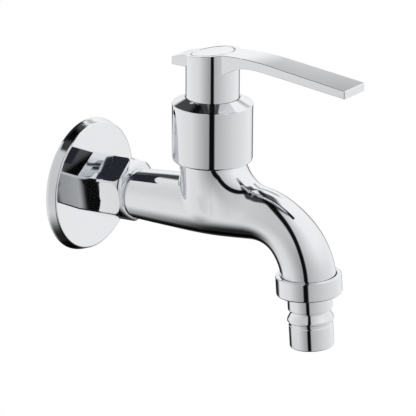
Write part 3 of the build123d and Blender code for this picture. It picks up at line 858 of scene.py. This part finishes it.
def run_and_spout(points):
    """Straight run, bend and last straight stretch of the water's way to the outlet."""
    x, z = points[:, 0], points[:, 2]
    angle = np.arctan2(x - bend_x, z - bend_z) + RUN_RISE
    ring = np.hypot(x - bend_x, z - bend_z)
    along_run = (x - RUN_START_X) * rise_x + z * rise_z
    to_outlet = (x - outlet_point.x) * down.x + (z - outlet_point.z) * down.z
    bent = (angle > 0) & (angle < BEND_TURN)
    dropped = angle >= BEND_TURN
    along = np.where(dropped, run_length + bend_length + to_outlet, run_length + BEND_R * angle)
    along = np.where(bent | dropped, along, along_run)
    off = np.where(bent, ring - BEND_R, z * rise_x - (x - RUN_START_X) * rise_z)
    off_dropped = -(x - outlet_point.x) * down.z + (z - outlet_point.z) * down.x
    off = np.where(dropped, off_dropped, off)
    off_x = np.where(bent, (x - bend_x) / ring, np.where(dropped, -down.z, -rise_z))
    off_z = np.where(bent, (z - bend_z) / ring, np.where(dropped, down.x, rise_x))
    return round_tube(points, off, off_x, off_z, smooth_through(TUBE_AT, TUBE_R, along))


# %% Neck and elbow
OUT_OF_REACH = 10.0
ELBOW_BLEND_Z = [12, sleeve_low.z]
ELBOW_BLEND = [1.8, 0.3]


def unit(ways):
    """Directions of length one."""
    return ways / np.maximum(np.linalg.norm(ways, axis=1), 1e-6)[:, None]


def neck_and_elbow(points):
    """Neck under the sleeve, and the wide bend from it into the spout."""
    x, z = points[:, 0], points[:, 2]
    neck_r = smooth_through(NECK_AT, NECK_RADII, z)
    neck, neck_out = round_tube(points, x - VALVE_X, 1.0, 0.0, neck_r)
    neck = np.maximum(neck, NECK_FOOT - z)
    ring = np.hypot(x - elbow_x, z - elbow_z)
    angle = np.arctan2(elbow_z - z, elbow_x - x)
    elbow_r = smooth_through(ELBOW_AT, ELBOW_R, angle / ELBOW_TURN)
    off_x, off_z = (x - elbow_x) / ring, (z - elbow_z) / ring
    elbow, elbow_out = round_tube(points, ring - CROTCH_R, off_x, off_z, elbow_r)
    elbow = np.where((angle > 0) & (angle < ELBOW_TURN), elbow, OUT_OF_REACH)
    width = np.interp(z, ELBOW_BLEND_Z, ELBOW_BLEND)
    share = np.clip(0.5 + (elbow - neck) / (2 * width), 0, 1)
    height = share * neck + (1 - share) * elbow - width * share * (1 - share)
    return height, unit(share[:, None] * neck_out + (1 - share[:, None]) * elbow_out)


# %% [markdown]
# ## One skin from both
# Where the tubes cross at an angle, the casting has a rounded crease. Its radius shrinks as they
# come to lie in line, because there is nothing left to round, and a narrow merge takes over
# where they touch at a shallow angle.

# %% One skin from both
CREASE_X, CREASE_R = [58, 72], [1.9, 6.0]
CREASE_MOST = 3.0
SQUARE_CREASE = 0.414
SHARPEST = 0.2
MERGE_X = [52, 60, 66, 71, 75, 80, 84, 87]
MERGE_WIDTH = [0.1, 1.2, 2.0, 2.6, 1.8, 0.5, 0.05, 0.01]
SLOPE_STEP = 0.01


def above_skin(points):
    """Height above the casting's skin: the nearer tube, rounded where two meet at an angle."""
    run, run_out = run_and_spout(points)
    neck, neck_out = neck_and_elbow(points)
    half_turn = np.sqrt(np.clip((1 + (run_out * neck_out).sum(axis=1)) / 2, SHARPEST, 1))
    widest = np.interp(points[:, 0], CREASE_X, CREASE_R)
    crease = np.minimum(widest * (1 / half_turn - 1) / SQUARE_CREASE, CREASE_MOST)
    inner = np.hypot(np.maximum(crease - run, 0), np.maximum(crease - neck, 0))
    height = np.maximum(crease, np.minimum(run, neck)) - inner
    merge = np.interp(points[:, 0], MERGE_X, MERGE_WIDTH)
    return height - np.maximum(merge - np.abs(run - neck), 0) ** 2 / (4 * merge)


def way_out(points):
    """Direction straight out of the skin at each point."""
    moves = np.eye(3) * SLOPE_STEP
    slopes = [above_skin(points + move) - above_skin(points - move) for move in moves]
    return unit(np.stack(slopes, axis=1) / (2 * SLOPE_STEP))


# %% [markdown]
# ## Rough tubes
# The rough casting is a tube for run and spout, a turned neck, and a tube for the elbow. A curve
# with a bevel makes a tube of any course, with a radius at each station.

# %% Rough tubes
BEND_STEPS = 16


def tube(name, stations):
    """Round tube along a curve, from (place, radius) stations, with closed ends."""
    line = bpy.data.curves.new(name, "CURVE")
    line.dimensions = "3D"
    line.bevel_depth = 1.0
    line.bevel_resolution = 14
    line.use_fill_caps = True
    spline = line.splines.new("POLY")
    spline.points.add(len(stations) - 1)
    for point, (where, radius) in zip(spline.points, stations):
        point.co = (*where, 1)
        point.radius = radius
    piece = bpy.data.objects.new(name, line)
    bpy.context.scene.collection.objects.link(piece)
    pick(piece)
    bpy.ops.object.convert(target="MESH")
    bpy.ops.object.mode_set(mode="EDIT")
    close_up()
    return bpy.context.active_object


def bend_stations(radii, spare):
    """Places and radii along the bend, and a straight end beyond the outlet."""
    stations = []
    for step in range(BEND_STEPS + 1):
        angle = BEND_TURN * step / BEND_STEPS - RUN_RISE
        where = Vector((bend_x + BEND_R * math.sin(angle), 0, bend_z + BEND_R * math.cos(angle)))
        along = run_length + bend_length * step / BEND_STEPS
        stations.append((where, radius_at(TUBE_AT, radii, along)))
    return stations + [(outlet_point + down * spare, radii[-1])]


# %% Run, neck and elbow
RUN_HIDDEN_X, RUN_MIDDLE_X = 16.0, 44.0
SPOUT_SPARE = 6.0
NECK_ROUGH_TOP = 34
ELBOW_STEPS = 12
run_at = zip((RUN_HIDDEN_X, RUN_START_X, RUN_MIDDLE_X, VALVE_X), TUBE_R[[0, 0, 1, 2]])
run_stations = [(Vector((x, 0, run_z(x))), radius) for x, radius in run_at]
casting = tube("tap_casting", run_stations + bend_stations(TUBE_R, SPOUT_SPARE))
neck = turned("neck", [
    (0, NECK_BOTTOM), (NECK_ROOT_R, NECK_BOTTOM), (NECK_MIDDLE_R, NECK_MIDDLE),
    (NECK_R, sleeve_low.z), (NECK_R, NECK_ROUGH_TOP), (0, NECK_ROUGH_TOP),
], axis=VALVE)
elbow_stations = []
elbow_radii = smooth_through(ELBOW_AT, ELBOW_R, np.linspace(0, 1, ELBOW_STEPS + 1))
for step, radius in enumerate(elbow_radii):
    angle = ELBOW_TURN * step / ELBOW_STEPS
    where = (elbow_x - CROTCH_R * math.cos(angle), 0, elbow_z - CROTCH_R * math.sin(angle))
    elbow_stations.append((where, float(radius)))
elbow = tube("elbow", elbow_stations)
print("rough pieces:", [len(piece.data.polygons) for piece in (casting, neck, elbow)], "faces")

# %% [markdown]
# ## Skin of the casting
# Remeshing turns the joined pieces into one skin of small even squares, with steps where they
# meet. Each point then slides straight out or in until its height above the form is nothing.
# A few rounds are enough, because the heights are nearly true distances.

# %% Skin of the casting
SKIN_VOXEL = 0.45
SKIN_SMOOTHING = 4
NEAR_FORM = 1.5
SLIDES = 4


def points_of(mesh):
    """Every point of a mesh, as rows of x, y and z."""
    flat = np.empty(len(mesh.vertices) * 3, dtype=np.float32)
    mesh.vertices.foreach_get("co", flat)
    return flat.reshape(-1, 3).astype(float)


pick(casting)
neck.select_set(True)
elbow.select_set(True)
bpy.ops.object.join()
modify(casting, "REMESH", mode="VOXEL", voxel_size=SKIN_VOXEL)
modify(casting, "SMOOTH", iterations=SKIN_SMOOTHING)
skin = points_of(casting.data)
near = np.abs(above_skin(skin)) < NEAR_FORM
for slide in range(SLIDES):
    skin[near] -= way_out(skin[near]) * above_skin(skin[near])[:, None]
casting.data.vertices.foreach_set("co", skin.astype(np.float32).ravel())
casting.data.update()
print("casting", len(skin), "points, farthest off its form", np.abs(above_skin(skin[near])).max())

# %% [markdown]
# ## Turned ends
# After casting, the ends are turned on a lathe: a spigot on the neck for the sleeve, the spout's
# end for the collar, and the run's root. Each cut is a ring that reaches well past the metal.

# %% Turned ends
NECK_SPIGOT_R, NECK_TOP = 13.0, 29.5
THREAD_R, SPOUT_END = 10.4775, 2.2
ROOT_R, ROOT_END = 9.4, 3.0
RUN = Matrix.Translation((RUN_START_X, 0, 0)) @ Matrix.Rotation(math.radians(90) - RUN_RISE, 4, "Y")
neck_ring = turned("neck_ring", [
    (NECK_SPIGOT_R, sleeve_low.z), (30, sleeve_low.z), (30, 40), (0, 40), (0, NECK_TOP),
    (NECK_SPIGOT_R, NECK_TOP),
], [(5, 0.5)], VALVE)
outlet_ring = turned("outlet_ring", [
    (THREAD_R, 0), (20, 0), (20, 12), (0, 12), (0, SPOUT_END), (THREAD_R, SPOUT_END),
], [(5, 0.4)], OUTLET)
root_ring = turned("root_ring", [
    (ROOT_R, -6), (ROOT_R, ROOT_END), (10.62, ROOT_END), (10.85, 5.5), (16, 5.5), (16, -6),
], [(2, 0.7)], RUN)
for ring in (neck_ring, outlet_ring, root_ring):
    combine(casting, "DIFFERENCE", ring)
print("casting after its ends are turned", len(casting.data.polygons), "faces")

# %% [markdown]
# ## Hexagon and shoulder
# Spanner flats are milled from a round shoulder, so their far end is a dome cut by six planes.
# Here the two are made whole, a six-sided bar and a turned plug with a large fillet, and what
# both share is kept. The bar starts at the flange, square, and its far end leans with the run.

# %% Hexagon and shoulder
HEX_FLATS = 25.0
HEX_TURN = 3.5
HEX_LENGTH = 22.5
HEX_SPARE = 2.0
HEX_ROUND_R = 14.15
SHOULDER_R = 4.1
hex_corner_r = HEX_FLATS / math.sqrt(3)
hex_angles = [math.radians(180 + HEX_TURN + 60 * number) for number in range(6)]
hex_corners = [
    (hex_corner_r * math.cos(angle), hex_corner_r * math.sin(angle)) for angle in hex_angles
]
hex_reach = HEX_LENGTH + HEX_SPARE
hex_lift = (-math.tan(RUN_RISE) * hex_reach, 0, 0)
hexagon = slab("hexagon", hex_corners, face_x, face_x + hex_reach, flat=True, slant=hex_lift)
place(hexagon, INLET)
HEX = Matrix.Translation((face_x, 0, 0)) @ Matrix.Rotation(math.radians(90) - RUN_RISE, 4, "Y")
shoulder = turned("shoulder", [
    (0, -HEX_SPARE), (HEX_ROUND_R, -HEX_SPARE), (HEX_ROUND_R, HEX_LENGTH), (0, HEX_LENGTH),
], [(2, SHOULDER_R)], HEX, steps=192)
combine(hexagon, "INTERSECT", shoulder)
soften(hexagon, 0.15, 25, clamp=True)
combine(casting, "UNION", hexagon)
print("casting with its hexagon", len(casting.data.polygons), "faces")

# %% [markdown]
# ## Pipe thread
# The inlet screws into the wall. A thread is a ridge wound round a core: the ridge's profile
# gets a Screw modifier, its open ends are filled, and a turned envelope trims both ends, with
# the chamfer that lets a thread start.

# %% Core of the thread
INLET_START = -11.0
THREAD_END = 2.0
THREAD_DEPTH = 1.16
STEM_R = THREAD_R - 0.9
STEM_START = THREAD_END + 0.6
core_r = THREAD_R - THREAD_DEPTH
core = turned("core", [
    (0, INLET_START), (core_r, INLET_START), (core_r, THREAD_END - 0.5), (STEM_R, STEM_START),
    (STEM_R, face_x + 0.5), (0, face_x + 0.5),
], axis=INLET)
print("core", len(core.data.polygons), "faces")

# %% Ridge of the thread
PITCH = 1.814
THREAD_TURNS = 8
RIDGE_FOOT, RIDGE_ROOT, RIDGE_CREST = 0.8, 0.72, 0.12
foot_r = core_r - 0.3
ridge = trace("ridge", [
    (foot_r, -RIDGE_FOOT), (core_r, -RIDGE_ROOT), (THREAD_R, -RIDGE_CREST),
    (THREAD_R, RIDGE_CREST), (core_r, RIDGE_ROOT), (foot_r, RIDGE_FOOT),
])
modify(ridge, "SCREW", screw_offset=PITCH, iterations=THREAD_TURNS, steps=96, render_steps=96)
bpy.ops.object.mode_set(mode="EDIT")
bpy.ops.mesh.select_all(action="DESELECT")
bpy.ops.mesh.select_mode(type="EDGE")
bpy.ops.mesh.select_non_manifold()
bpy.ops.mesh.fill_holes(sides=0)
bpy.ops.mesh.select_mode(type="VERT")
close_up()
place(ridge, INLET @ Matrix.Translation((0, 0, INLET_START - PITCH / 2)))
ridge_start = min(corner[0] for corner in ridge.bound_box)
print("ridge", len(ridge.data.polygons), "faces, x from", round(ridge_start, 2))

# %% Thread on the casting
THREAD_CHAMFER = 1.1
thread = combine(core, "UNION", ridge)
envelope = turned("envelope", [
    (0, INLET_START), (THREAD_R - THREAD_CHAMFER, INLET_START),
    (THREAD_R, INLET_START + THREAD_CHAMFER), (THREAD_R, THREAD_END), (STEM_R, STEM_START),
    (STEM_R, face_x + SPARE), (0, face_x + SPARE),
], axis=INLET)
combine(thread, "INTERSECT", envelope)
combine(casting, "UNION", thread)
print("casting with hexagon and thread", len(casting.data.polygons), "faces")

# %% [markdown]
# ## Water ways
# Water comes in by a drilled bore, which ends in the drill's cone, rises through the valve
# chamber under the cartridge, and leaves by the bend. All three are cut from the solid casting,
# as closed cutters, after everything outside is done.

# %% Water ways
INLET_BORE_R = 6.5
INLET_BORE_END = 49.8
DRILL_CONE = 4.8
CHAMBER_R = 10.3
CHAMBER_TOP = 15.2
CARTRIDGE_R = 10.5275
WAY_WALL = 2.6
inlet_way = turned("inlet_way", [
    (0, INLET_START - SPARE), (INLET_BORE_R, INLET_START - SPARE), (INLET_BORE_R, INLET_BORE_END),
    (0, INLET_BORE_END + DRILL_CONE),
], axis=INLET)
chamber = turned("chamber", [
    (0, NECK_BOTTOM), (CHAMBER_R, NECK_BOTTOM), (CHAMBER_R, CHAMBER_TOP),
    (CARTRIDGE_R, CHAMBER_TOP), (CARTRIDGE_R, NECK_TOP + SPARE), (0, NECK_TOP + SPARE),
], axis=VALVE)
way_radii = TUBE_R - WAY_WALL
way_radii[-2:] = [7.9, 7.5]
way_start = VALVE_X + CHAMBER_R - WAY_WALL
way_stations = [(Vector((way_start, 0, run_z(way_start))), way_radii[2])]
spout_way = tube("spout_way", way_stations + bend_stations(way_radii, SPOUT_END + SPARE))
for way in (inlet_way, chamber, spout_way):
    combine(casting, "DIFFERENCE", way)
settled(casting, chrome_plate, "chrome", "tap", "tap_body", weighted=False)

# %% [markdown]
# ## Even reflections
# In chrome every face that leans a little shows as a dent. The form's own slope is known
# exactly, so each corner on the skin gets that direction as its normal, and reflections run
# over the casting without a ripple. Corners on the cut and turned parts keep their own.

# %% Normals from the form
ON_SKIN = 0.02
SAME_WAY = 0.85


def exact_normals(piece):
    """Gives the corners that lie on the casting's skin the form's own directions."""
    mesh = piece.data
    points = points_of(mesh) / MM
    corners = np.empty(len(mesh.loops), dtype=np.int32)
    mesh.loops.foreach_get("vertex_index", corners)
    normals = np.empty(len(mesh.loops) * 3, dtype=np.float32)
    mesh.corner_normals.foreach_get("vector", normals)
    normals = normals.reshape(-1, 3).astype(float)
    on_skin = (np.abs(above_skin(points)) < ON_SKIN)[corners]
    out = way_out(points)[corners]
    agree = on_skin & ((out * normals).sum(axis=1) > SAME_WAY)
    corner_counts = [len(face.loop_indices) for face in mesh.polygons]
    faces = np.repeat(np.arange(len(corner_counts)), corner_counts)
    whole = np.bincount(faces, weights=~agree) == 0
    chosen = whole[faces]
    normals[chosen] = out[chosen]
    mesh.normals_split_custom_set(normals.tolist())
    print(piece.name, "corners with exact normals:", int(chosen.sum()), "of", len(chosen))


exact_normals(casting)

# %% [markdown]
# ## Studio
# Chrome shows its surroundings, so this tap is photographed inside a light tent: a dome of white
# cloth, lit from outside, brighter at the sides and grey near the camera. The lens looks in
# through a slit, which is the black stripe down the middle of every round part, and dark cloth
# behind the tap draws the thin dark lines along the outlines. A place on the tent is given by
# its bearing from the camera's direction, right of it positive, its tilt, or plain distances.

# %% Places on the tent
TENT_R = 0.28
TENT_CENTRE = Vector((VALVE_X * MM, 0, 0.02))
TO_DEGREES = 180 / math.pi
camera_right, _, camera_back = view_axes(CAMERA_AZIMUTH, 0)
tent_finish = Finish("tent_cloth")
tent_place = tent_finish.node("ShaderNodeTexCoord", output="Object")


def along(axis):
    """Distance of a place on the tent from its centre, along one direction."""
    settings = {"operation": "DOT_PRODUCT"}
    return tent_finish.node("ShaderNodeVectorMath", settings, tent_place, axis, output="Value")


ahead, side, height = along(camera_back), along(camera_right), along(Vector((0, 0, 1)))
bearing = side.math("ARCTAN2", ahead) * TO_DEGREES
tilt = height.math("ARCTAN2", (ahead * ahead + side * side).math("SQRT")) * TO_DEGREES
print("tent centre", [round(value, 4) for value in TENT_CENTRE], "radius", TENT_R)

# %% Brightness of the white cloth


def smooth_step(value, low, high):
    """Rises smoothly from 0 to 1 while value goes from low to high."""
    settings = {"interpolation_type": "SMOOTHSTEP"}
    return value.finish.node("ShaderNodeMapRange", settings, value, low, high, 0.0, 1.0)


def share_of_turn(degrees):
    """Place of a bearing on a colour ramp, from 0 at -180 degrees to 1 at 180."""
    return (degrees + 180) / 360


def cloth(stops):
    """Brightness of the cloth round the tap, from (degrees, grey) stops."""
    on_ramp = [(share_of_turn(at), grey) for at, grey in stops]
    return tent_finish.node("ShaderNodeValToRGB", {"stops": on_ramp}, share_of_turn(bearing))


low_cloth = cloth([
    (-180, 0.78), (-130, 0.92), (-60, 0.78), (-15, 0.38),
    (15, 0.52), (60, 0.73), (120, 0.92), (180, 0.78),
])
high_cloth = cloth([
    (-180, 1.0), (-90, 0.73), (-20, 0.60), (12, 0.62),
    (36, 0.80), (60, 0.96), (150, 1.0), (180, 1.0),
])
glow = low_cloth + (high_cloth - low_cloth) * smooth_step(tilt, -12, 25)
print("white cloth of", len(tent_finish.tree.nodes), "nodes")

# %% [markdown]
# ## Dark cloth in the tent
# Photographers hang black cloth where they want a dark reflection. Each one here is a share of
# the light that it takes away and a mask of where it hangs, with soft edges as out-of-focus
# cloth has. The list goes round the tent, and the last one is the slit for the lens.

# %% Dark cloth in the tent


def window(value, low, high, soft):
    """1 between low and high, 0 outside them, with soft edges."""
    rise = smooth_step(value, low - soft / 2, low + soft / 2)
    return rise * (1 - smooth_step(value, high - soft / 2, high + soft / 2))


below = 1 - smooth_step(tilt, -5, 5)
behind = 1 - smooth_step(ahead, -0.02, 0.02)
behind_left = 1 - smooth_step(bearing, -138, -118)
behind_right = smooth_step(bearing, 145, 153)
dark_cloths = [
    # Dark underneath.
    (0.98, 1 - smooth_step(tilt, -66, -33)),
    # A strip on each side behind the tap, below its middle, and a wide one lower on the left.
    (0.92, window(bearing, -164, -146, 9) * below),
    (0.75, window(bearing, 146, 166, 12) * below),
    (0.93, behind_left * window(tilt, -80, -23, 6)),
    # The upper back of the tent, on the left and, higher up, in the middle.
    (0.93, window(side, -0.13, -0.03, 0.03) * smooth_step(height, 0.11, 0.15) * behind),
    (0.93, window(side, -0.05, 0.03, 0.03) * smooth_step(height, 0.19, 0.23) * behind),
    # The top of the roof, on the left and on the right, but not towards the camera.
    (0.93 * (1 - smooth_step(ahead, 0.07, 0.10)),
     window(side, -0.16, -0.03, 0.03) * smooth_step(height, 0.225, 0.25)),
    (0.90 * (1 - smooth_step(ahead, 0.08, 0.12)),
     window(side, 0.0, 0.09, 0.04) * smooth_step(height, 0.23, 0.25)),
    # A grey patch behind on the right, where the top of the lever mirrors it.
    (0.62 - 0.14 * smooth_step(bearing, 155, 165),
     behind_right * smooth_step(tilt, 26, 36.5) * (1 - smooth_step(tilt, 38, 46))),
    # The slit for the lens.
    (0.99, window(side, -0.044, 0.027, 0.022) * smooth_step(ahead, -0.06, 0.0)),
]
for share, mask in dark_cloths:
    glow = glow * (1 - share * mask)
print("dark cloths:", len(dark_cloths))

# %% Tent


def only_in_mirrors(thing):
    """Leaves a thing to reflections: the camera and dull surfaces don't see it or its shadow."""
    thing.visible_camera = False
    thing.visible_diffuse = False
    thing.visible_shadow = False
    thing.visible_transmission = False


tent_shader = tent_finish.node("ShaderNodeEmission", None, Color=glow, Strength=1.0)
bpy.ops.mesh.primitive_uv_sphere_add(
    segments=128, ring_count=64, radius=TENT_R, location=TENT_CENTRE
)
tent = bpy.context.active_object
tent.name = "light_tent"
bpy.ops.object.shade_smooth()
tent.data.materials.append(tent_finish.output("ShaderNodeOutputMaterial", tent_shader))
only_in_mirrors(tent)
print("tent of", len(tent_finish.tree.nodes), "nodes")

# %% [markdown]
# ## Black cards
# Some dark areas need cloth closer by than the tent. Two level black cards do that: one over the
# handle, for the sleeve's cone, and one above and behind the flange, for the hexagon's upper
# sides and the top of the run. Only reflections see them.

# %% Black cards
card_finish = Finish("roof_cloth")
card_shader = card_finish.node(
    "ShaderNodeEmission", None, Color=(0.02, 0.023, 0.03, 1), Strength=1.0
)
black = card_finish.output("ShaderNodeOutputMaterial", card_shader)


def black_cloth(name, low_x, high_x, half_width, high_z):
    """Level black card over the tap that only reflections see."""
    bpy.ops.mesh.primitive_plane_add(size=1, location=((low_x + high_x) / 2, 0, high_z))
    made = bpy.context.active_object
    made.name = name
    made.scale = (high_x - low_x, 2 * half_width, 1)
    made.data.materials.append(black)
    only_in_mirrors(made)
    print(name, "at height", high_z)


black_cloth("cloth_over_handle", 0.046, 0.080, half_width=0.016, high_z=0.095)
black_cloth("cloth_over_hexagon", -0.040, -0.0055, half_width=0.022, high_z=0.060)

# %% [markdown]
# ## Surround
# A plain white world surrounds the tap. The camera, mirrors and glass see it at full strength,
# and it lights dull things a little less, so that they don't clip to white.

# %% Surround
AMBIENT = 0.75


def seen_directly(finish):
    """1 for the rays of the camera, of mirrors and of glass, and 0 for the light on dull things."""
    camera_ray, mirror_ray, glass_ray = [
        finish.node("ShaderNodeLightPath", output=name)
        for name in ("Is Camera Ray", "Is Glossy Ray", "Is Transmission Ray")
    ]
    return (camera_ray + mirror_ray + glass_ray).math("MINIMUM", 1.0)


world = Finish("studio_surround", world=True)
strength = AMBIENT + (1.0 - AMBIENT) * seen_directly(world)
surround = world.node("ShaderNodeBackground", None, Color=(1, 1, 1, 1), Strength=strength)
bpy.context.scene.world = world.output("ShaderNodeOutputWorld", surround)
print("surround lights dull things at", AMBIENT)

# %% [markdown]
# ## Floor
# A sheet of pale paper lies well below the tap and fills the picture behind it. It glows a
# little, so that it stays pale, and has no gloss, so that nothing shines off it.

# %% Floor
FLOOR_Z = -0.32
FLOOR_SIZE = 12
FLOOR_GLOW = 0.4
floor_finish = Finish("pale_floor")
floor_shader = floor_finish.node(
    "ShaderNodeBsdfPrincipled", None,
    Base_Color=(0.8, 0.8, 0.8, 1), Roughness=0.9 + 0.05 * floor_finish.noise(3.0, 2.0),
    Specular_IOR_Level=0.0, Emission_Color=(1, 1, 1, 1), Emission_Strength=FLOOR_GLOW,
)
bpy.ops.mesh.primitive_plane_add(size=FLOOR_SIZE, location=(0, 0, FLOOR_Z))
floor = bpy.context.active_object
floor.name = "floor"
floor.data.materials.append(floor_finish.output("ShaderNodeOutputMaterial", floor_shader))
print("floor at", FLOOR_Z)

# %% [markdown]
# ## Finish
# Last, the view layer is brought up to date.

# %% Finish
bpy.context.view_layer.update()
